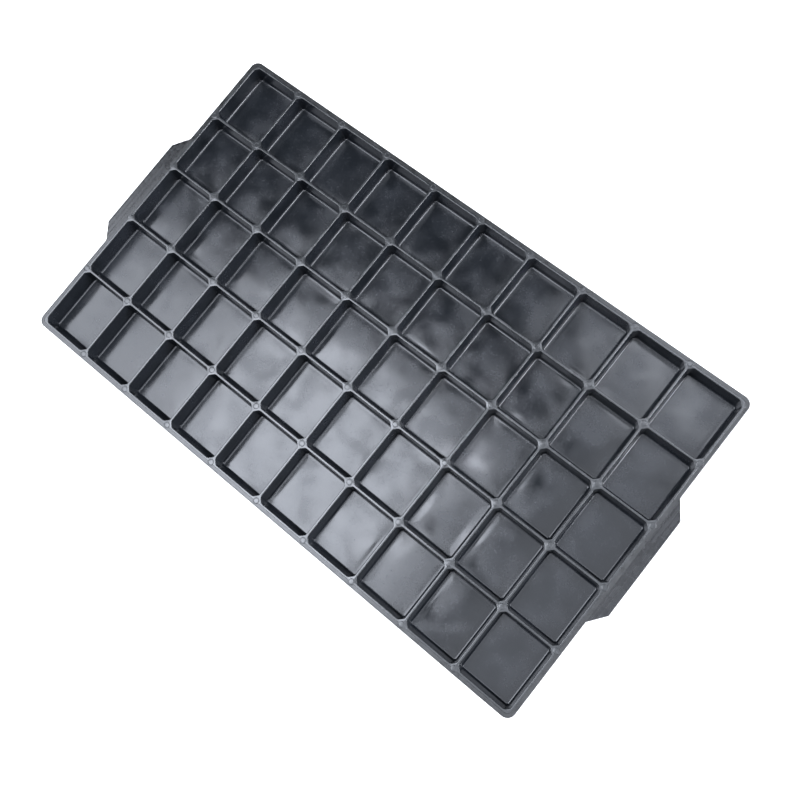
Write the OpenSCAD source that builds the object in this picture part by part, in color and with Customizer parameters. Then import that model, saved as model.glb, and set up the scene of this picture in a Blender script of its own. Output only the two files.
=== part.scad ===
// Plug tray: one injection moulding, drawn as the regions it is made of.
// Open pockets hang from a grid of ribs inside a flanged rim, with a grip tab
// at each short end. The origin is under the middle of the tray, on the surface
// it stands on. X runs along the tray, Y across it and Z up.

/* [Pockets] */
// Pockets along the tray
columns = 10; // [2:1:10]
// Pockets across the tray
rows = 5; // [2:1:5]
// Distance between pocket centres along the tray
pitch_x = 52.4; // [30:0.1:80]
// Distance between pocket centres across the tray
pitch_y = 60.6; // [30:0.1:80]
// Depth of a pocket, from the top of the ribs to its floor
pocket_depth = 16.8; // [8:0.1:40]
// Slope of the pocket walls from upright, in degrees
draft = 6.5; // [1:0.5:10]
// Length that each corner flat takes off a pocket's sides at the mouth
corner_leg = 3.8; // [1:0.1:8]

/* [Plastic] */
// Thickness of a pocket's walls
wall = 1; // [0.6:0.1:2]
// Thickness of a pocket's floor
floor_t = 1.2; // [0.8:0.1:3]
// Thickness of the ribs and the rim's flange
cap_t = 1.2; // [0.8:0.1:3]
// Gap between the walls of neighbouring pockets, just under their rib
web_gap = 0.2; // [0.1:0.1:2]

/* [Rim] */
// Width of the flange outside the outer pockets
rim_w = 5.2; // [3:0.1:12]
// Width of the raised bead round the pockets
bead_w = 1.9; // [1:0.1:2.5]
// Height of the bead above the rest of the flange
bead_h = 0.4; // [0.2:0.1:0.5]
// Radius of the tray's outer corners
rim_corner_r = 7.5; // [3:0.5:12]
// Height of the turned-down lip, with the flange
lip_h = 6; // [3:0.5:10]
// Thickness of the turned-down lip
lip_t = 1.2; // [0.8:0.1:2]

/* [Grip tabs] */
// How far a tab stands out past the rim
tab_reach = 10.6; // [6:0.1:25]
// Length of a tab where it meets the rim
tab_root = 120; // [60:1:200]
// Length that each sloping end takes off a tab's outer edge
tab_slope = 14.5; // [0:0.5:25]
// Thickness of a tab
tab_t = 1.6; // [1.2:0.1:3]
// Grooves in the top of a tab
groove_count = 3; // [2:1:3]
// Distance from the rim to the middle of the inner groove
groove_start = 1.4; // [1:0.1:2]
// Distance from a tab's outer edge to the middle of its outer groove
groove_inset = 1.8; // [1.5:0.1:2.5]
// Width of a groove
groove_w = 1.2; // [0.5:0.1:1.4]
// Depth of a groove
groove_d = 0.5; // [0.2:0.1:0.8]

/* [Hidden] */
$fn = 64;
CELL_NODES = [for (r = [1:rows], c = [1:columns]) cell_name(r, c)];

black = [0.16, 0.17, 0.18];
satin_black = [0.24, 0.25, 0.26];

// Heights
tray_h = pocket_depth + floor_t;
cap_z = tray_h - cap_t;
slope = tan(draft);

// A rib is as wide as the two walls it caps and the gap between them.
rib_w = 2 * wall + web_gap;
mouth_x = pitch_x - rib_w;
mouth_y = pitch_y - rib_w;
// Distance from a pocket's axis to its corner flats, at the mouth
mouth_diagonal = (mouth_x / 2 + mouth_y / 2 - corner_leg) / sqrt(2);

// Half sizes of the opening inside the rim, and of the whole rim
inner_x = columns * pitch_x / 2 - rib_w / 2;
inner_y = rows * pitch_y / 2 - rib_w / 2;
outer_x = inner_x + rim_w;
outer_y = inner_y + rim_w;
far = 2 * (outer_x + outer_y);
flange_z = tray_h - bead_h;
groove_pitch = (tab_reach - groove_start - groove_inset) / (groove_count - 1);

function cell_name(r, c) = str("cell_r", r, "_c", c < 10 ? "0" : "", c);
function column_x(c) = (c - (columns + 1) / 2) * pitch_x;
function row_y(r) = ((rows + 1) / 2 - r) * pitch_y;
// Grid lines run between pockets: line 0 and the last one lie under the rim.
function line_x(i) = (i - columns / 2) * pitch_x;
function line_y(j) = (j - rows / 2) * pitch_y;

// A wedge-sided slab that is endless along Y: half_width at z_high, less below it.
module drafted_slab(half_width, z_low, z_high) {
    low_half = half_width - (z_high - z_low) * slope;
    rotate([90, 0, 0])
        linear_extrude(height = far, center = true)
            polygon([[-low_half, z_low], [low_half, z_low],
                     [half_width, z_high], [-half_width, z_high]]);
}

// A pocket-shaped block with drafted sides and flats across its corners.
// The sizes are those at z_high, where grow is added on every side.
module drafted_block(z_low, z_high, grow) {
    intersection() {
        drafted_slab(mouth_x / 2 + grow, z_low, z_high);
        rotate([0, 0, 90]) drafted_slab(mouth_y / 2 + grow, z_low, z_high);
        rotate([0, 0, 45]) drafted_slab(mouth_diagonal + grow, z_low, z_high);
        rotate([0, 0, -45]) drafted_slab(mouth_diagonal + grow, z_low, z_high);
    }
}

// One pocket, from the underside of its ribs to the surface the tray stands on.
module cell(r, c) {
    color(black)
        translate([column_x(c), row_y(r), 0])
            difference() {
                drafted_block(0, cap_z, wall);
                // The pocket's inside, cut on at the same slope past the mouth.
                drafted_block(floor_t, tray_h, cap_t * slope);
            }
}

// Ribs between rows, one bar for each pocket they pass.
module lengthwise_ribs() {
    color(satin_black)
        for (j = [1:rows - 1], c = [1:columns])
            translate([column_x(c), line_y(j), cap_z])
                flat_bar(mouth_x - 2 * corner_leg, rib_w);
}

// Ribs between columns, one bar for each pocket they pass.
module crosswise_ribs() {
    color(satin_black)
        for (i = [1:columns - 1], r = [1:rows])
            translate([line_x(i), row_y(r), cap_z])
                flat_bar(rib_w, mouth_y - 2 * corner_leg);
}

module flat_bar(length_x, length_y) {
    translate([-length_x / 2, -length_y / 2, 0])
        cube([length_x, length_y, cap_t]);
}

// Pads where ribs cross, where they meet the rim, and in the rim's corners.
module junction_pads() {
    color(satin_black)
        translate([0, 0, cap_z])
            linear_extrude(height = cap_t) {
                for (i = [1:columns - 1], j = [1:rows - 1])
                    translate([line_x(i), line_y(j)]) crossing_pad();
                for (i = [1:columns - 1], side = [-1, 1])
                    translate([line_x(i), side * inner_y])
                        rotate(side > 0 ? 180 : 0) tee_pad();
                for (j = [1:rows - 1], side = [-1, 1])
                    translate([side * inner_x, line_y(j)])
                        rotate(side > 0 ? 90 : -90) tee_pad();
                for (side_x = [-1, 1], side_y = [-1, 1])
                    translate([side_x * inner_x, side_y * inner_y])
                        corner_pad(side_x, side_y);
            }
}

// Four corner flats and four rib ends.
module crossing_pad() {
    near = rib_w / 2;
    tip = near + corner_leg;
    polygon([[tip, near], [near, tip], [-near, tip], [-tip, near],
             [-tip, -near], [-near, -tip], [near, -tip], [tip, -near]]);
}

// The rim runs along X below the pad, and the rib leaves it towards +Y.
module tee_pad() {
    near = rib_w / 2;
    tip = near + corner_leg;
    polygon([[-tip, 0], [tip, 0], [near, corner_leg], [-near, corner_leg]]);
}

module corner_pad(side_x, side_y) {
    polygon([[0, 0], [-side_x * corner_leg, 0], [0, -side_y * corner_leg]]);
}

// The outline of the rim, moved in by inset.
module rim_outline(inset) {
    half_x = outer_x - inset;
    half_y = outer_y - inset;
    r = rim_corner_r - inset;
    square([2 * half_x, 2 * (half_y - r)], center = true);
    square([2 * (half_x - r), 2 * half_y], center = true);
    for (side_x = [-1, 1], side_y = [-1, 1])
        translate([side_x * (half_x - r), side_y * (half_y - r)]) circle(r);
}

// Flange, the raised bead along its inner edge and the turned-down lip, all the
// way round.
module whole_rim() {
    translate([0, 0, tray_h - lip_h])
        difference() {
            union() {
                linear_extrude(height = lip_h - bead_h) rim_outline(0);
                linear_extrude(height = lip_h) rim_outline(rim_w - bead_w);
            }
            linear_extrude(height = 2 * lip_h)
                square([2 * inner_x, 2 * inner_y], center = true);
            linear_extrude(height = lip_h - cap_t) rim_outline(lip_t);
        }
}

// The rim's share along one long side, mitred at both ends.
module long_rim(side) {
    color(satin_black)
        intersection() {
            whole_rim();
            linear_extrude(height = 2 * tray_h)
                polygon([[-inner_x, side * inner_y], [inner_x, side * inner_y],
                         [inner_x + 2 * rim_w, side * (inner_y + 2 * rim_w)],
                         [-inner_x - 2 * rim_w, side * (inner_y + 2 * rim_w)]]);
        }
}

// The rim's share along one short side, mitred at both ends.
module short_rim(side) {
    color(satin_black)
        intersection() {
            whole_rim();
            linear_extrude(height = 2 * tray_h)
                polygon([[side * inner_x, -inner_y], [side * inner_x, inner_y],
                         [side * (inner_x + 2 * rim_w), inner_y + 2 * rim_w],
                         [side * (inner_x + 2 * rim_w), -inner_y - 2 * rim_w]]);
        }
}

// A flat tab with sloping ends, level with the flange and grooved along its top.
module grip_tab(side) {
    half_root = tab_root / 2;
    half_tip = half_root - tab_slope;
    color(satin_black)
        translate([side * outer_x, 0, flange_z - tab_t])
            rotate(side > 0 ? 0 : 180)
                difference() {
                    linear_extrude(height = tab_t)
                        polygon([[0, -half_root], [tab_reach, -half_tip],
                                 [tab_reach, half_tip], [0, half_root]]);
                    for (k = [0:groove_count - 1])
                        translate([groove_start + k * groove_pitch, 0, tab_t])
                            cube([groove_w, tab_root, 2 * groove_d], center = true);
                }
}

for (r = [1:rows], c = [1:columns])
    cell(r, c);
lengthwise_ribs();
crosswise_ribs();
junction_pads();
long_rim(-1);  // front_rim
long_rim(1);  // back_rim
short_rim(-1);  // left_rim
short_rim(1);  // right_rim
grip_tab(-1);  // left_grip_tab
grip_tab(1);  // right_grip_tab
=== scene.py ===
"""Plug tray: the finished surfaces, materials, light and camera.

The tray is one injection moulding in black polypropylene. Its pieces here are the
pockets, the deck of ribs and junction pads that joins their mouths, the round marks
that ejector pins leave on the junctions, the four sides of the rim and the two grip
tabs. Lengths are written in millimetres and turned to metres where a mesh is made.
"""

import math

import bpy
import numpy as np
from mathutils import Matrix, Vector


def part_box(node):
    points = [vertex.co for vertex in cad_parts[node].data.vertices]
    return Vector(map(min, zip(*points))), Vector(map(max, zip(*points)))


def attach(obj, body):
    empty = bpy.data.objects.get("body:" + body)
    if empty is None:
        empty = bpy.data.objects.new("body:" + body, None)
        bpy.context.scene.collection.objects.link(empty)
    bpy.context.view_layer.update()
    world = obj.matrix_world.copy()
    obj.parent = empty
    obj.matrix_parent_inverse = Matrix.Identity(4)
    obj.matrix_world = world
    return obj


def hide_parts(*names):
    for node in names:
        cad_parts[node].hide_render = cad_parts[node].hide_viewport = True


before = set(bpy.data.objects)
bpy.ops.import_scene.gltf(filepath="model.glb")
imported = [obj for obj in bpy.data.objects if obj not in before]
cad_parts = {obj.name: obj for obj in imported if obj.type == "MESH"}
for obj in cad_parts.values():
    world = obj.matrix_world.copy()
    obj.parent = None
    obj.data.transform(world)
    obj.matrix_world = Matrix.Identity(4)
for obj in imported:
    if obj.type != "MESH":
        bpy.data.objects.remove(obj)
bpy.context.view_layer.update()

MM = 0.001


# ---------------------------------------------------------------- driving sizes


def box_mm(node):
    """A CAD node's lowest and highest corners, in millimetres."""
    low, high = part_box(node)
    return np.array(low) / MM, np.array(high) / MM


def pocket_node(row, column):
    return f"cell_r{row}_c{column:02d}"


# A pocket's node is named cell_r, its row, _c and its column in two digits.
ROW_DIGIT = 6
ROWS = max(int(name[ROW_DIGIT]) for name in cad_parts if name.startswith("cell_r"))
COLUMNS = sum(name.startswith("cell_r1_c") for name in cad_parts)

# Sizes that the nodes' boxes don't show, the same as in the CAD source
WALL = 1.0
FLOOR_T = 1.2
CORNER_LEG = 3.8
BEAD_W = 1.9
BEAD_H = 0.4
LIP_T = 1.2
TAB_T = 1.6
DRAFT = math.radians(6.5)
SLOPE = math.tan(DRAFT)
# A corner flat that keeps its distance from the walls loses this much of its leg for
# each millimetre that the walls move in. The real flats taper faster, down to the least.
EVEN_LEG_LOSS = 2 - math.sqrt(2)
LEG_LOSS = 1.1
LEAST_LEG = 0.8

first_low, first_high = box_mm(pocket_node(1, 1))
beside_low, _ = box_mm(pocket_node(1, 2))
below_low, _ = box_mm(pocket_node(2, 1))
PITCH_X = beside_low[0] - first_low[0]
PITCH_Y = first_low[1] - below_low[1]
CAP_Z = first_high[2]
HALF_X = (first_high[0] - first_low[0]) / 2 - WALL
HALF_Y = (first_high[1] - first_low[1]) / 2 - WALL

right_rim_low, right_rim_high = box_mm("right_rim")
_, back_rim_high = box_mm("back_rim")
TOP = right_rim_high[2]
LIP_Z = right_rim_low[2]
OUTER_X = right_rim_high[0]
OUTER_Y = back_rim_high[1]
GRID_X = COLUMNS * PITCH_X / 2
GRID_Y = ROWS * PITCH_Y / 2
RIB_HALF = PITCH_X / 2 - HALF_X
INNER_X = GRID_X - RIB_HALF
RIM_W = OUTER_X - INNER_X
RIM_R = 7.5
FLANGE_Z = TOP - BEAD_H
# Where the rim's corner arcs are centred, the same for every offset
ARC_X = OUTER_X - RIM_R
ARC_Y = OUTER_Y - RIM_R

# Roundings that the tool's cutters leave
EDGE_R = 0.55
FLOOR_R = 1.7
CORNER_R = 2.6
LEAST_CORNER_R = 0.9
BASE_R = 1.1
BEAD_R = 0.3
FLANGE_EDGE_R = 0.6
LIP_EDGE_R = 0.4

# Two places closer than this are on the same grid line.
ON_LINE = 1e-6
WELD_DIGITS = 4
# Faces that meet at a sharper turn than this many degrees are shaded with a crease.
SHARP_ANGLE = 38

random = np.random.default_rng(50)


# ---------------------------------------------------------------- mesh helpers


def grid_quads(rings, around, closed_around=True, closed_rings=False):
    """Quads between neighbouring rings of points; ring i, point j is i * around + j."""
    ring = np.arange(rings if closed_rings else rings - 1)[:, None]
    point = np.arange(around if closed_around else around - 1)[None, :]
    next_ring = (ring + 1) % rings
    next_point = (point + 1) % around
    corners = [ring * around + point, ring * around + next_point,
               next_ring * around + next_point, next_ring * around + point]
    return np.stack(np.broadcast_arrays(*corners), -1).reshape(-1, 4)


def weld(points, quads):
    """Merges points that coincide, so that seams between patches are closed."""
    rounded = np.round(points, WELD_DIGITS)
    _, first, same = np.unique(rounded, axis=0, return_index=True, return_inverse=True)
    return points[first], same.reshape(-1)[quads]


def volume_of(points, faces):
    """Six times the signed volume: only its sign is used, to tell if faces point out."""
    total = 0.0
    for face in faces:
        corner = points[np.asarray(face)]
        turned = np.cross(corner[1:-1], corner[2:])
        total += np.sum(turned @ corner[0])
    return total


def make_piece(name, points, faces, material, replaced=()):
    """Makes a closed mesh from points in millimetres and rides it on the tray."""
    faces = [list(map(int, face)) for face in faces]
    if volume_of(points, faces) < 0:
        faces = [face[::-1] for face in faces]
    mesh = bpy.data.meshes.new(name)
    mesh.from_pydata((points * MM).tolist(), [], faces)
    mesh.validate()
    mesh.polygons.foreach_set("use_smooth", np.ones(len(mesh.polygons), bool))
    mesh.set_sharp_from_angle(angle=math.radians(SHARP_ANGLE))
    mesh.materials.append(material)
    piece = bpy.data.objects.new(name, mesh)
    bpy.context.scene.collection.objects.link(piece)
    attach(piece, "root")
    if replaced:
        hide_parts(*replaced)
    return piece


def arc(centre, radius, start, end, steps):
    """Points on an arc in a profile's own plane, angles in degrees."""
    angle = np.radians(np.linspace(start, end, steps + 1))
    return np.stack([centre[0] + radius * np.cos(angle),
                     centre[1] + radius * np.sin(angle)], -1)


# ---------------------------------------------------------------- pocket outline

SIDE_STEPS_X = 9
SIDE_STEPS_Y = 10
ROUND_STEPS = 5
POINTS_PER_QUARTER = SIDE_STEPS_X + SIDE_STEPS_Y + 2 * ROUND_STEPS + 3


def quarter_outline(half_x, half_y, leg, round_r):
    """A quarter of a rectangle with rounded corner flats, from +X round to +Y.

    Each ring is a straight side, a 45-degree arc, a flat with its middle point, a
    second 45-degree arc and the other straight side. Inputs are columns, one row for
    each ring.
    """
    tangent = round_r * math.tan(math.pi / 8)
    side_y = np.linspace(0, 1, SIDE_STEPS_Y + 1)[:-1]
    side_x = np.linspace(1, 0, SIDE_STEPS_X + 1)[1:]
    turn = np.linspace(0, math.pi / 4, ROUND_STEPS + 1)
    start_y = half_y - leg - tangent
    start_x = half_x - leg - tangent
    x = np.concatenate([
        half_x + 0 * side_y,
        half_x - round_r + round_r * np.cos(turn),
        half_x - leg / 2,
        start_x + round_r * np.cos(turn + math.pi / 4),
        start_x * side_x], axis=1)
    y = np.concatenate([
        start_y * side_y,
        start_y + round_r * np.sin(turn),
        half_y - leg / 2,
        half_y - round_r + round_r * np.sin(turn + math.pi / 4),
        half_y + 0 * side_x], axis=1)
    return np.stack([x, y], -1)


def whole_outline(quarter):
    """The full loop from its first quarter: a mirrored copy, then both turned half round."""
    mirrored = quarter[:, ::-1] * [-1, 1]
    half = np.concatenate([quarter[:, :-1], mirrored[:, :-1]], axis=1)
    return np.concatenate([half, -half], axis=1)


def pocket_outline(inset, thick=0.0):
    """Loops round a pocket at several insets from its mouth, moved out by a thickness."""
    inset = np.atleast_1d(inset)[:, None]
    leg = np.maximum(CORNER_LEG - LEG_LOSS * inset, LEAST_LEG) + EVEN_LEG_LOSS * thick
    round_r = np.maximum(CORNER_R - inset, LEAST_CORNER_R) + thick
    half_x = HALF_X - inset + thick
    half_y = HALF_Y - inset + thick
    return whole_outline(quarter_outline(half_x, half_y, leg, round_r))


def with_height(loops, heights):
    """Adds a height to every point of each loop."""
    z = np.broadcast_to(np.atleast_1d(heights)[:, None], loops.shape[:2])
    return np.concatenate([loops, z[..., None]], -1)


# The wall leaves the mouth's edge rounding here, at inset 0.
EDGE_Z = TOP - EDGE_R + EDGE_R * math.sin(DRAFT)


def wall_inset(z):
    return (EDGE_Z - z) * SLOPE


# ---------------------------------------------------------------- pockets

WALL_STEPS = 3
FLOOR_R_STEPS = 9
FOOT_STEPS = 4
FLOOR_RINGS = 13
BASE_RINGS = 4
# Mean height of a floor's crown, and how much it varies from pocket to pocket
CROWN = (0.26, 0.12)
DENTS_PER_FLOOR = 5
DENT_REACH = (6.0, 12.0)
DENT_DEPTH = 0.10
FLOOR_TILT = 0.003
RAMP_W = 5.0


def floor_warp(x, y):
    """How far a cooled floor stands off flat: a low crown, a tilt and a few round dents.

    The crown is one cosine arch along each side, multiplied together. Each dent is a
    bell curve round its own middle. The tilt and the dents are brought to nothing at
    the walls by a smooth ramp.
    """
    crown = random.normal(*CROWN)
    centre_x = random.uniform(-HALF_X, HALF_X, DENTS_PER_FLOOR)
    centre_y = random.uniform(-HALF_Y, HALF_Y, DENTS_PER_FLOOR)
    reach = random.uniform(*DENT_REACH, DENTS_PER_FLOOR)
    depth = random.normal(0, DENT_DEPTH, DENTS_PER_FLOOR)
    tilt = random.normal(0, FLOOR_TILT, 2)
    away = (x[..., None] - centre_x) ** 2 + (y[..., None] - centre_y) ** 2
    dents = np.sum(depth * np.exp(-away / (2 * reach ** 2)), -1)
    edge = np.minimum(HALF_X - np.abs(x), HALF_Y - np.abs(y)) - wall_inset(FLOOR_T)
    ramp = np.clip((edge - FLOOR_R) / RAMP_W, 0, 1)
    arch = np.cos(x / HALF_X * math.pi / 2) * np.cos(y / HALF_Y * math.pi / 2)
    loose = (dents + tilt[0] * x + tilt[1] * y) * ramp * ramp * (3 - 2 * ramp)
    return crown * arch * np.minimum(edge / FLOOR_R, 1) + loose


def shrunk_rings(loop, rings):
    """Copies of a loop drawn in towards its middle, without the middle itself."""
    scale = np.linspace(1, 0, rings + 1)[1:-1]
    return loop[None] * scale[:, None, None]


def pocket_points(row, column):
    """A closed cup: inside floor, fillet and wall, then outside wall, base and its middle.

    Inside, the wall slopes in by the draft down to a quarter-round fillet that ends on
    the floor. Outside is the same wall one thickness further out, with a rounded foot.
    """
    wall_foot = FLOOR_T + FLOOR_R * (1 - math.sin(DRAFT))
    centre_inset = wall_inset(wall_foot) + FLOOR_R * math.cos(DRAFT)
    fillet = arc((0, FLOOR_T + FLOOR_R), FLOOR_R, 180 + math.degrees(DRAFT), 270,
                 FLOOR_R_STEPS)
    fillet_inset = centre_inset + fillet[:, 0]
    fillet_z = fillet[:, 1]
    wall_z = np.linspace(CAP_Z, wall_foot, WALL_STEPS + 1)[:-1]
    inside = with_height(
        pocket_outline(np.concatenate([wall_inset(wall_z), fillet_inset])),
        np.concatenate([wall_z, fillet_z]))
    floor_loops = shrunk_rings(inside[-1, :, :2], FLOOR_RINGS)
    floor_z = FLOOR_T + floor_warp(floor_loops[..., 0], floor_loops[..., 1])
    floor = np.concatenate([floor_loops, floor_z[..., None]], -1)
    middle = np.array([[0, 0, floor_z[-1].mean()]])

    outer_gap = WALL / math.cos(DRAFT)
    foot_z = BASE_R * (1 - math.sin(DRAFT))
    foot = arc((0, BASE_R), BASE_R, 180 + math.degrees(DRAFT), 270, FOOT_STEPS)
    foot_inset = wall_inset(foot_z) + BASE_R * math.cos(DRAFT) + foot[:, 0]
    outside_z = np.linspace(CAP_Z, foot_z, WALL_STEPS + 1)[:-1]
    outside = with_height(
        pocket_outline(np.concatenate([wall_inset(outside_z), foot_inset]), outer_gap),
        np.concatenate([outside_z, foot[:, 1]]))
    base_loops = shrunk_rings(outside[-1, :, :2], BASE_RINGS)
    base = with_height(base_loops, 0.0)

    rings = np.concatenate([floor[::-1], inside[::-1], outside, base])
    place = np.array([(column - (COLUMNS + 1) / 2) * PITCH_X,
                      ((ROWS + 1) / 2 - row) * PITCH_Y, 0])
    poles = np.concatenate([middle, [[0, 0, 0]]])
    return rings + place, poles + place


def make_pocket(row, column, material):
    rings, poles = pocket_points(row, column)
    count, around = rings.shape[:2]
    points = np.concatenate([rings.reshape(-1, 3), poles])
    quads = grid_quads(count, around).tolist()
    last = (count - 1) * around
    inner_pole = count * around
    outer_pole = inner_pole + 1
    step = [(j, (j + 1) % around) for j in range(around)]
    fans = [[inner_pole, b, a] for a, b in step]
    fans += [[outer_pole, last + a, last + b] for a, b in step]
    make_piece(f"pocket_r{row}_c{column:02d}", points, quads + fans, material,
               [pocket_node(row, column)])


# ---------------------------------------------------------------- deck

EDGE_STEPS = 5
BEAD_STEPS = 3


def cell_border(loop_quarter):
    """Where each point of a mouth's first quarter lands on its cell's rectangle.

    Points of the straight sides go straight across. Those of the rounded corner share
    out the rest of the two sides, and the middle of the corner flat takes the corner.
    """
    middle = SIDE_STEPS_Y + ROUND_STEPS + 1
    before = np.linspace(0, 1, ROUND_STEPS + 2)
    start_y = loop_quarter[SIDE_STEPS_Y, 1]
    start_x = loop_quarter[middle + 1 + ROUND_STEPS, 0]
    x = np.full(len(loop_quarter), PITCH_X / 2)
    y = loop_quarter[:, 1].copy()
    y[SIDE_STEPS_Y:middle + 1] = start_y + (PITCH_Y / 2 - start_y) * before
    x[middle:middle + ROUND_STEPS + 2] = PITCH_X / 2 + (start_x - PITCH_X / 2) * before
    x[middle + ROUND_STEPS + 2:] = loop_quarter[middle + ROUND_STEPS + 2:, 0]
    y[middle:] = PITCH_Y / 2
    return np.stack([x, y], -1)


def rounded_outside(points, offset):
    """Moves border points out from the outermost grid lines, round the tray's corners."""
    radius = RIM_R - (RIM_W - RIB_HALF) + offset
    x = np.abs(points[:, 0])
    y = np.abs(points[:, 1])
    x = np.where(x > GRID_X - ON_LINE, GRID_X + offset, x)
    y = np.where(y > GRID_Y - ON_LINE, GRID_Y + offset, y)
    past_x = x - ARC_X
    past_y = y - ARC_Y
    at_corner = (past_x > 0) & (past_y > 0)
    length = np.where(at_corner, np.hypot(past_x, past_y), 1.0)
    x = np.where(at_corner, ARC_X + past_x * radius / length, x)
    y = np.where(at_corner, ARC_Y + past_y * radius / length, y)
    return np.stack([np.sign(points[:, 0]) * x, np.sign(points[:, 1]) * y], -1)


def make_deck(material):
    """The plate that joins the pockets' mouths, one patch for each pocket.

    A patch runs along the plate's underside from the cell's border to the mouth, up the
    mouth's wall, over its rounded edge and back along the top. Outer patches go on over
    the bead to its outer side and return underneath.
    """
    edge = arc((0, 0), EDGE_R, math.degrees(DRAFT), 90, EDGE_STEPS)
    edge_inset = edge[:, 0] - EDGE_R * math.cos(DRAFT)
    edge_z = TOP - EDGE_R + edge[:, 1]
    insets = np.concatenate([[wall_inset(CAP_Z)], edge_inset])
    heights = np.concatenate([[CAP_Z], edge_z])
    mouth = with_height(pocket_outline(insets), heights)
    border = whole_outline(cell_border(mouth[-1, :POINTS_PER_QUARTER, :2])[None])[0]
    around = len(border)

    bead_reach = BEAD_W - RIB_HALF
    bead = arc((bead_reach - BEAD_R, TOP - BEAD_R), BEAD_R, 90, 0, BEAD_STEPS)
    points = []
    quads = []
    count = 0

    def add(patch, closed):
        nonlocal count
        rings, wide = patch.shape[:2]
        points.append(patch.reshape(-1, 3))
        quads.append(grid_quads(rings, wide, closed) + count)
        count += rings * wide

    for row in range(1, ROWS + 1):
        for column in range(1, COLUMNS + 1):
            place = np.array([(column - (COLUMNS + 1) / 2) * PITCH_X,
                              ((ROWS + 1) / 2 - row) * PITCH_Y])
            here = border + place
            on_x = np.abs(np.abs(here[:, 0]) - GRID_X) < ON_LINE
            on_y = np.abs(np.abs(here[:, 1]) - GRID_Y) < ON_LINE
            outer = on_x | on_y
            here = np.where(outer[:, None], rounded_outside(here, 0.0), here)
            low = with_height(here[None], CAP_Z)
            high = with_height(here[None], TOP)
            add(np.concatenate([low, mouth + [*place, 0], high]), True)
            if not outer.any():
                continue
            start = int(np.flatnonzero(~outer)[0])
            order = (np.arange(around) + start) % around
            run = order[outer[order]]
            flat = (border + place)[run]
            strip = [with_height(rounded_outside(flat, 0.0)[None], TOP)]
            strip += [with_height(rounded_outside(flat, offset)[None], z)
                      for offset, z in bead]
            strip += [with_height(rounded_outside(flat, bead_reach)[None], CAP_Z),
                      with_height(rounded_outside(flat, 0.0)[None], CAP_Z)]
            add(np.concatenate(strip), False)
    points, quads = weld(np.concatenate(points), np.concatenate(quads))
    distinct = [list(dict.fromkeys(quad)) for quad in quads.tolist()]
    faces = [face for face in distinct if len(face) > 2]
    make_piece("deck_of_ribs", points, faces, material,
               ["lengthwise_ribs", "crosswise_ribs", "junction_pads"])


# ---------------------------------------------------------------- ejector marks

MARK_R = 2.75
MARK_H = 0.16
MARK_AROUND = 32
# The section from the middle out: shares of the radius, and heights as shares of MARK_H
MARK_RADII = (0.15, 0.5, 0.68, 0.72, 0.80, 0.88, 1.0, 1.0)
MARK_HEIGHTS = (0.3, 0.2, 0.1, 0.0, 1.0, 1.0, 0.1, 0.0)
# How far a mark's root goes below the flange, so that it grows out of the deck
MARK_ROOT = 0.1


def mark_places():
    """Every crossing of two grid lines except the four at the tray's corners."""
    x = (np.arange(COLUMNS + 1) - COLUMNS / 2) * PITCH_X
    y = (np.arange(ROWS + 1) - ROWS / 2) * PITCH_Y
    grid = np.stack(np.meshgrid(x, y), -1).reshape(-1, 2)
    corner = (np.abs(grid) > np.array([GRID_X, GRID_Y]) - ON_LINE).all(axis=1)
    return grid[~corner]


def make_marks(material):
    """A low domed middle, a groove and a raised ring: a section turned about each crossing."""
    radius = MARK_R * np.array(MARK_RADII)
    z = TOP + MARK_H * np.array(MARK_HEIGHTS)
    z[-1] = FLANGE_Z - MARK_ROOT
    angle = np.linspace(0, 2 * math.pi, MARK_AROUND, endpoint=False)
    ring = np.stack([np.outer(radius, np.cos(angle)), np.outer(radius, np.sin(angle))], -1)
    disc = with_height(ring, z)
    rings = len(radius)
    around = MARK_AROUND
    quads = grid_quads(rings, around).tolist()
    top_fan = list(range(around))[::-1]
    base_fan = [(rings - 1) * around + j for j in range(around)]
    points = []
    faces = []
    for x, y in mark_places():
        shift = len(points) * rings * around
        points.append(disc.reshape(-1, 3) + [x, y, 0])
        faces += [[v + shift for v in face] for face in quads + [top_fan, base_fan]]
    make_piece("ejector_marks", np.concatenate(points), faces, material)


# ---------------------------------------------------------------- rim

CORNER_STEPS = 8
RIM_STEP = 3.0
FLANGE_EDGE_STEPS = 5
LIP_STEPS = 3
# How far the flange reaches in under the bead
FLANGE_OVERLAP = 0.05
# The flange's edge rounding fades over this length to its least share beside a grip tab.
TAB_BLEND = 1.5
LEAST_EDGE = 0.03


def rim_profile(edge_r):
    """The rim's section as (offset from the mouths, height): flange, lip and underside.

    edge_r is a column with the outer edge's radius at each place along the rim.
    """
    edge_r = edge_r[:, None]

    def rounded(centre_o, centre_z, radius, start, end, steps):
        angle = np.radians(np.linspace(start, end, steps + 1))[None]
        return np.stack([centre_o + radius * np.cos(angle) + 0 * edge_r,
                         centre_z + radius * np.sin(angle) + 0 * edge_r], -1)

    def straight(offset, z):
        return np.broadcast_to(np.array([offset, z]), (len(edge_r), 1, 2))

    inner = BEAD_W - FLANGE_OVERLAP
    lip_inside = RIM_W - LIP_T
    lip_low = LIP_Z + LIP_EDGE_R
    lip_high = CAP_Z - LIP_EDGE_R
    return np.concatenate([
        straight(inner, FLANGE_Z),
        rounded(RIM_W - edge_r, FLANGE_Z - edge_r, edge_r, 90, 0, FLANGE_EDGE_STEPS),
        rounded(RIM_W - LIP_EDGE_R, lip_low, LIP_EDGE_R, 0, -90, LIP_STEPS),
        rounded(lip_inside + LIP_EDGE_R, lip_low, LIP_EDGE_R, -90, -180, LIP_STEPS),
        rounded(lip_inside - LIP_EDGE_R, lip_high, LIP_EDGE_R, 0, 90, LIP_STEPS),
        straight(inner, CAP_Z)], axis=1)


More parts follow.
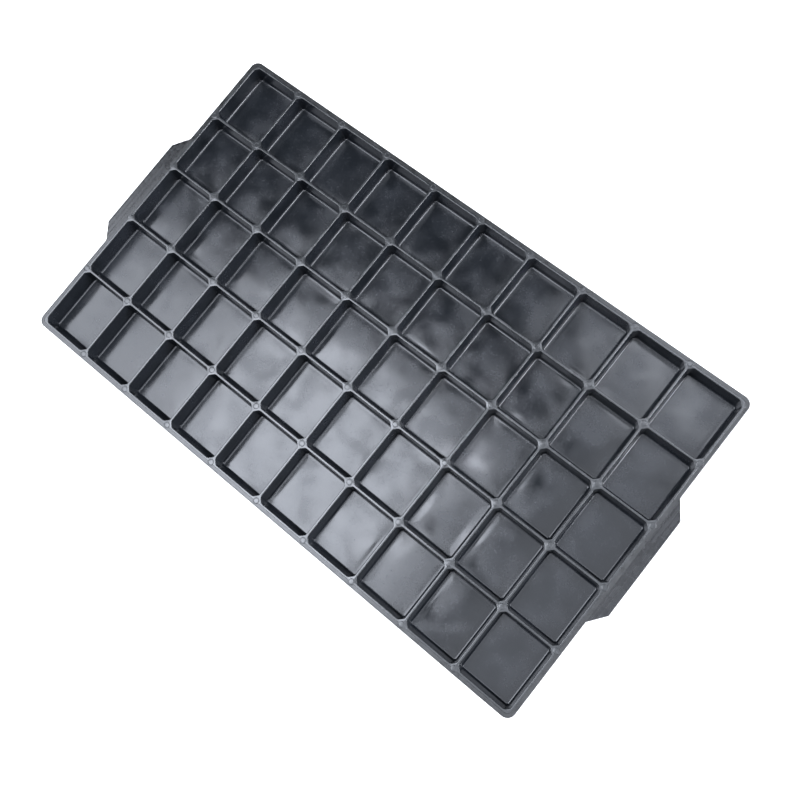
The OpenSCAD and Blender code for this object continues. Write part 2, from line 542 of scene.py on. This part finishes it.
def rim_path(half_straight, tab_half):
    """Stations along one side, from the middle of a corner to the middle of the next.

    Each has its place along the straight, its outward direction as an angle, and the
    outer edge's radius, which fades almost to nothing where a grip tab grows out of it.
    """
    turn = np.linspace(-math.pi / 4, 0, CORNER_STEPS + 1)
    breaks = [-half_straight, half_straight]
    if tab_half:
        breaks += [side * (tab_half + past) for side in (-1, 1) for past in (0.0, TAB_BLEND)]
    steps = int(2 * half_straight / RIM_STEP)
    along = np.unique(np.concatenate([np.linspace(-half_straight, half_straight, steps),
                                      breaks]))
    place = np.concatenate([np.full(CORNER_STEPS, -half_straight), along,
                            np.full(CORNER_STEPS, half_straight)])
    angle = np.concatenate([turn[:-1], 0 * along, -turn[:-1][::-1]])
    free = 1.0
    if tab_half:
        free = np.clip((np.abs(place) - tab_half) / TAB_BLEND, LEAST_EDGE, 1)
    return place, angle, FLANGE_EDGE_R * free + 0 * place


def make_rim_side(name, node, turn, half_straight, arc_out, tab_half, material):
    """Carries the rim's section along one side; turn is the side's outward direction."""
    place, angle, edge_r = rim_path(half_straight, tab_half)
    profile = rim_profile(edge_r)
    reach = RIM_R - RIM_W + profile[..., 0]
    out = arc_out + reach * np.cos(angle)[:, None]
    along = place[:, None] + reach * np.sin(angle)[:, None]
    cos_t, sin_t = math.cos(turn), math.sin(turn)
    points = np.stack([out * cos_t - along * sin_t, out * sin_t + along * cos_t,
                       profile[..., 1]], -1)
    stations, around = points.shape[:2]
    faces = grid_quads(stations, around).tolist()
    faces.append(list(range(around))[::-1])
    faces.append([(stations - 1) * around + j for j in range(around)])
    make_piece(name, points.reshape(-1, 3), faces, material, [node])


# ---------------------------------------------------------------- grip tabs

GROOVE_MIDDLES = (1.4, 5.1, 8.8)
GROOVE_W = 1.2
GROOVE_D = 0.5
GROOVE_STEPS = 8
# A high power gives a groove a flat floor and steep sides.
GROOVE_POWER = 8
TAB_EDGE_R = 0.55
TAB_EDGE_STEPS = 4
TAB_STATIONS = 31
# Length that each sloping end takes off the tab's outer edge
TAB_SLOPE = 14.5


def tab_profile(reach):
    """The tab's section as (distance from the rim, height above its top), closed."""
    top = [[0.0, 0.0]]
    for middle in GROOVE_MIDDLES:
        share = np.linspace(-0.5, 0.5, GROOVE_STEPS + 1)
        dip = GROOVE_D * np.clip(1 - (2 * np.abs(share)) ** GROOVE_POWER, 0, 1)
        top += np.stack([middle + share * GROOVE_W, -dip], -1).tolist()
    tip = arc((reach - TAB_EDGE_R, -TAB_EDGE_R), TAB_EDGE_R, 90, 0,
              TAB_EDGE_STEPS)
    foot = arc((reach - TAB_EDGE_R, TAB_EDGE_R - TAB_T), TAB_EDGE_R, 0, -90,
               TAB_EDGE_STEPS)
    return np.concatenate([top, tip, foot, [[0.0, -TAB_T]]])


def make_tab(name, node, side, material):
    """The section carried along the tab, drawn in towards the tip and thinned at its ends."""
    low, high = box_mm(node)
    half_root = (high[1] - low[1]) / 2
    reach = high[0] - low[0]
    profile = tab_profile(reach)
    middle_z = -TAB_T / 2
    turn = np.linspace(0, math.pi / 2, TAB_EDGE_STEPS + 1)
    end_in = TAB_EDGE_R * (1 - np.sin(turn))
    inner = np.linspace(-1, 1, TAB_STATIONS)[1:-1] * (half_root - TAB_EDGE_R)
    station = np.concatenate([-half_root + end_in[::-1], inner, half_root - end_in])
    station = np.unique(np.round(station, 6))
    from_end = half_root - np.abs(station)
    rounding = np.sqrt(np.maximum(TAB_EDGE_R ** 2 - (TAB_EDGE_R - from_end) ** 2, 0))
    thin = np.where(from_end < TAB_EDGE_R, TAB_EDGE_R - rounding, 0)
    squeeze = 1 - thin / (TAB_T / 2)
    taper = 1 - (TAB_SLOPE / half_root) * (profile[:, 0] / reach)
    x = side * (OUTER_X + profile[:, 0])[None] + 0 * station[:, None]
    y = station[:, None] * taper[None]
    z = FLANGE_Z + middle_z + (profile[:, 1] - middle_z)[None] * squeeze[:, None]
    points = np.stack([x, y, z], -1)
    stations, around = points.shape[:2]
    faces = grid_quads(stations, around).tolist()
    faces.append(list(range(around))[::-1])
    faces.append([(stations - 1) * around + j for j in range(around)])
    make_piece(name, points.reshape(-1, 3), faces, material, [node])


# ---------------------------------------------------------------- materials


def linear(colour):
    """An sRGB hex colour as linear red, green, blue and a full alpha."""
    channels = [int(colour[i:i + 2], 16) / 255 for i in (1, 3, 5)]
    return [c / 12.92 if c <= 0.04045 else ((c + 0.055) / 1.055) ** 2.4
            for c in channels] + [1.0]


def new_material(name):
    """A material with only its output and a principled shader, which are returned."""
    material = bpy.data.materials.new(name)
    material.use_nodes = True
    tree = material.node_tree
    tree.nodes.clear()
    shader = tree.nodes.new("ShaderNodeBsdfPrincipled")
    output = tree.nodes.new("ShaderNodeOutputMaterial")
    tree.links.new(shader.outputs["BSDF"], output.inputs["Surface"])
    return material, tree, shader


def add_node(tree, kind, settings=None, **inputs):
    """Adds a node, sets its properties, and sets or links its inputs by name.

    An input's value is a number, a colour or vector, or an output socket to link from.
    An underscore in an input's name stands for a space. Where names repeat, an input is
    picked by its place instead: i0 is the first one.
    """
    node = tree.nodes.new(kind)
    for key, value in (settings or {}).items():
        setattr(node, key, value)
    for key, value in inputs.items():
        by_place = key[0] == "i" and key[1:].isdigit()
        socket = node.inputs[int(key[1:]) if by_place else key.replace("_", " ")]
        if isinstance(value, bpy.types.NodeSocket):
            tree.links.new(value, socket)
        else:
            socket.default_value = value
    return node


# Sizes in millimetres of the scuff speckle and of the melt-front arcs, and their depth
SPECKLE = 2.2
FLOW_STEP = 60.0
FLOW_DEPTH = 0.012
# How much of the speckle joins the clouds in dulling the surface
SPECKLE_SHARE = 0.35
SCUFF_GREY = "#6c6f76"
# Polypropylene's own refractive index, with its reflections tinted a little cool
POLYPROPYLENE_IOR = 1.49
COOL = "#f7faff"


def moulded_black(name, dark, light, gloss, haze, specular, haze_mm, grain_mm,
                  grain_depth, scuff):
    """Injection-moulded polypropylene, black masterbatch.

    Cloudy differences in gloss come from uneven cooling against the mould, faint arcs
    from the front of the melt as it filled the mould, and the finest bump from the
    mould's own surface. Scuffs are small paler patches, where trays rub in a stack.
    Sizes and depths are in millimetres. gloss is the least roughness, haze what the
    dullest clouds add to it, and scuff the strength of the pale patches.
    """
    material, tree, shader = new_material(name)
    place = add_node(tree, "ShaderNodeTexCoord").outputs["Object"]
    cloud = add_node(tree, "ShaderNodeTexNoise", Vector=place, Scale=1 / (haze_mm * MM),
                     Detail=1.0, Roughness=0.5, Distortion=0.3).outputs["Fac"]
    speckle = add_node(tree, "ShaderNodeTexNoise", Vector=place, Scale=1 / (SPECKLE * MM),
                       Detail=4.0, Roughness=0.75, Distortion=0.2).outputs["Fac"]
    grain = add_node(tree, "ShaderNodeTexNoise", Vector=place, Scale=1 / (grain_mm * MM),
                     Detail=2.0, Roughness=0.6).outputs["Fac"]
    arcs = add_node(tree, "ShaderNodeTexWave", {"wave_type": "RINGS", "rings_direction": "Z"},
                    Vector=place, Scale=1 / (FLOW_STEP * MM), Distortion=6.0, Detail=1.0,
                    Detail_Scale=0.4).outputs["Fac"]
    patches = add_node(tree, "ShaderNodeMapRange", Value=speckle, From_Min=0.56,
                       From_Max=0.74, To_Min=0.0, To_Max=scuff).outputs["Result"]
    dusty = add_node(tree, "ShaderNodeMath", {"operation": "MULTIPLY"}, i0=patches,
                     i1=cloud).outputs["Value"]
    tone = add_node(tree, "ShaderNodeMapRange", Value=cloud, From_Min=0.35,
                    From_Max=0.65).outputs["Result"]
    plain = add_node(tree, "ShaderNodeMix", {"data_type": "RGBA"}, i0=tone, i6=linear(dark),
                     i7=linear(light)).outputs[2]
    colour = add_node(tree, "ShaderNodeMix", {"data_type": "RGBA"}, i0=dusty, i6=plain,
                      i7=linear(SCUFF_GREY)).outputs[2]
    tree.links.new(colour, shader.inputs["Base Color"])
    dulled = add_node(tree, "ShaderNodeMath", {"operation": "MULTIPLY_ADD"}, i0=speckle,
                      i1=SPECKLE_SHARE, i2=cloud).outputs["Value"]
    rough = add_node(tree, "ShaderNodeMapRange", Value=dulled, From_Min=0.40, From_Max=0.95,
                     To_Min=gloss, To_Max=gloss + haze).outputs["Result"]
    tree.links.new(rough, shader.inputs["Roughness"])
    flow = add_node(tree, "ShaderNodeBump", Height=arcs, Distance=FLOW_DEPTH * MM,
                    Strength=1.0).outputs["Normal"]
    normal = add_node(tree, "ShaderNodeBump", Height=grain, Distance=grain_depth * MM,
                      Strength=1.0, Normal=flow).outputs["Normal"]
    tree.links.new(normal, shader.inputs["Normal"])
    shader.inputs["IOR"].default_value = POLYPROPYLENE_IOR
    shader.inputs["Specular IOR Level"].default_value = specular
    shader.inputs["Specular Tint"].default_value = linear(COOL)
    return material


# Polished mould faces: a deep satin gloss that mirrors soft light unevenly.
pocket_finish = moulded_black("moulded_polypropylene_polished", "#111418", "#171a1f",
                              gloss=0.10, haze=0.24, specular=0.51, haze_mm=26,
                              grain_mm=0.6, grain_depth=0.001, scuff=0.16)
# Milled mould faces: the same plastic, a little duller on the ribs.
deck_finish = moulded_black("moulded_polypropylene_satin", "#1f2123", "#292b2d",
                            gloss=0.17, haze=0.14, specular=0.68, haze_mm=12,
                            grain_mm=0.5, grain_depth=0.010, scuff=0.35)
# Spark-eroded mould faces: a fine matt grain, for the rim.
rim_finish = moulded_black("moulded_polypropylene_matt", "#1d1e1f", "#28292a",
                           gloss=0.23, haze=0.14, specular=0.57, haze_mm=9,
                           grain_mm=0.8, grain_depth=0.030, scuff=0.45)
# The same grained faces on the tabs, a little darker than the rim: painted shade that stands
# in for the shade of their grooves.
tab_finish_painted_shade = moulded_black("moulded_polypropylene_grained_tab_painted_shade", "#131416", "#1c1d1f",
                           gloss=0.20, haze=0.14, specular=0.50, haze_mm=7,
                           grain_mm=0.8, grain_depth=0.030, scuff=0.30)


# ---------------------------------------------------------------- the tray

for row in range(1, ROWS + 1):
    for column in range(1, COLUMNS + 1):
        make_pocket(row, column, pocket_finish)
make_deck(deck_finish)
make_marks(deck_finish)

tab_low, tab_high = box_mm("right_grip_tab")
tab_half_root = (tab_high[1] - tab_low[1]) / 2
make_rim_side("rim_right", "right_rim", 0.0, ARC_Y, ARC_X, tab_half_root, rim_finish)
make_rim_side("rim_back", "back_rim", math.pi / 2, ARC_X, ARC_Y, 0, rim_finish)
make_rim_side("rim_left", "left_rim", math.pi, ARC_Y, ARC_X, tab_half_root, rim_finish)
make_rim_side("rim_front", "front_rim", -math.pi / 2, ARC_X, ARC_Y, 0, rim_finish)
make_tab("grip_right", "right_grip_tab", 1, tab_finish_painted_shade)
make_tab("grip_left", "left_grip_tab", -1, tab_finish_painted_shade)


# ---------------------------------------------------------------- floor, light, camera

FLOOR_HALF = 6.0
floor_mesh = bpy.data.meshes.new("floor")
floor_mesh.from_pydata([(-FLOOR_HALF, -FLOOR_HALF, 0), (FLOOR_HALF, -FLOOR_HALF, 0),
                        (FLOOR_HALF, FLOOR_HALF, 0), (-FLOOR_HALF, FLOOR_HALF, 0)],
                       [], [(0, 1, 2, 3)])
floor_object = bpy.data.objects.new("floor", floor_mesh)
bpy.context.scene.collection.objects.link(floor_object)
floor_paint, _, floor_shader = new_material("white_sweep")
floor_shader.inputs["Base Color"].default_value = linear("#f4f4f4")
floor_shader.inputs["Roughness"].default_value = 0.9
floor_shader.inputs["Emission Color"].default_value = linear("#ffffff")
floor_shader.inputs["Emission Strength"].default_value = 0.35
floor_mesh.materials.append(floor_paint)


PANEL_WHITE = "#f2f5fc"
WINDOW_WHITE = "#f4f6fc"


def add_panel(name, centre, size, radiance, colour, turned=(0, 0, 0)):
    """A rectangular soft light that faces straight down until it is turned, in degrees."""
    light = bpy.data.lights.new(name, "AREA")
    light.shape = "RECTANGLE"
    light.size = size[0]
    light.size_y = size[1]
    light.energy = radiance * size[0] * size[1] * math.pi
    light.color = linear(colour)[:3]
    lamp = bpy.data.objects.new(name, light)
    lamp.location = centre
    lamp.rotation_euler = [math.radians(angle) for angle in turned]
    bpy.context.scene.collection.objects.link(lamp)
    return lamp


add_panel("main_panel", (-0.57, -0.40, 2.0), (0.90, 1.14), 13.0, PANEL_WHITE)
add_panel("wide_panel", (-1.65, -0.55, 2.0), (1.20, 1.30), 7.6, PANEL_WHITE)
add_panel("side_panel", (0.50, -0.25, 2.0), (0.90, 1.40), 2.2, PANEL_WHITE)
add_panel("low_side_panel", (1.45, -0.35, 2.0), (0.90, 1.10), 4.0, PANEL_WHITE)
add_panel("corner_panel", (0.17, 0.94, 2.0), (0.70, 0.86), 6.2, PANEL_WHITE)
add_panel("window_panel", (2.3, 0.60, 1.15), (1.6, 0.55), 34.0, WINDOW_WHITE, (0, 90, 0))
add_panel("back_window", (1.45, 1.20, 1.30), (0.80, 0.70), 22.0, WINDOW_WHITE, (55, 0, 130))
add_panel("front_window", (-1.1, -2.2, 1.2), (2.4, 1.5), 4.0, WINDOW_WHITE, (90, 0, 0))

world = bpy.data.worlds.new("studio")
world.use_nodes = True
world.node_tree.nodes["Background"].inputs["Color"].default_value = linear("#e8ecf4")
world.node_tree.nodes["Background"].inputs["Strength"].default_value = 0.16
bpy.context.scene.world = world

CAMERA_PLACE = Vector((223.1, -59.0, 739.0)) * MM
CAMERA_AIM = Vector((42.6, -12.2, TOP)) * MM
# Direction in plan, from +X, that points straight up in the picture
PICTURE_UP = math.radians(129.0)
camera_data = bpy.data.cameras.new("camera")
camera_data.lens = 40.5
camera_data.clip_start = 0.01
camera = bpy.data.objects.new("camera", camera_data)
bpy.context.scene.collection.objects.link(camera)
back = (CAMERA_PLACE - CAMERA_AIM).normalized()
right = Vector((math.cos(PICTURE_UP), math.sin(PICTURE_UP), 0)).cross(back).normalized()
camera.matrix_world = Matrix.Translation(CAMERA_PLACE) @ Matrix(
    (right, back.cross(right), back)).transposed().to_4x4()
bpy.context.scene.camera = camera
bpy.context.scene.view_settings.view_transform = "Standard"
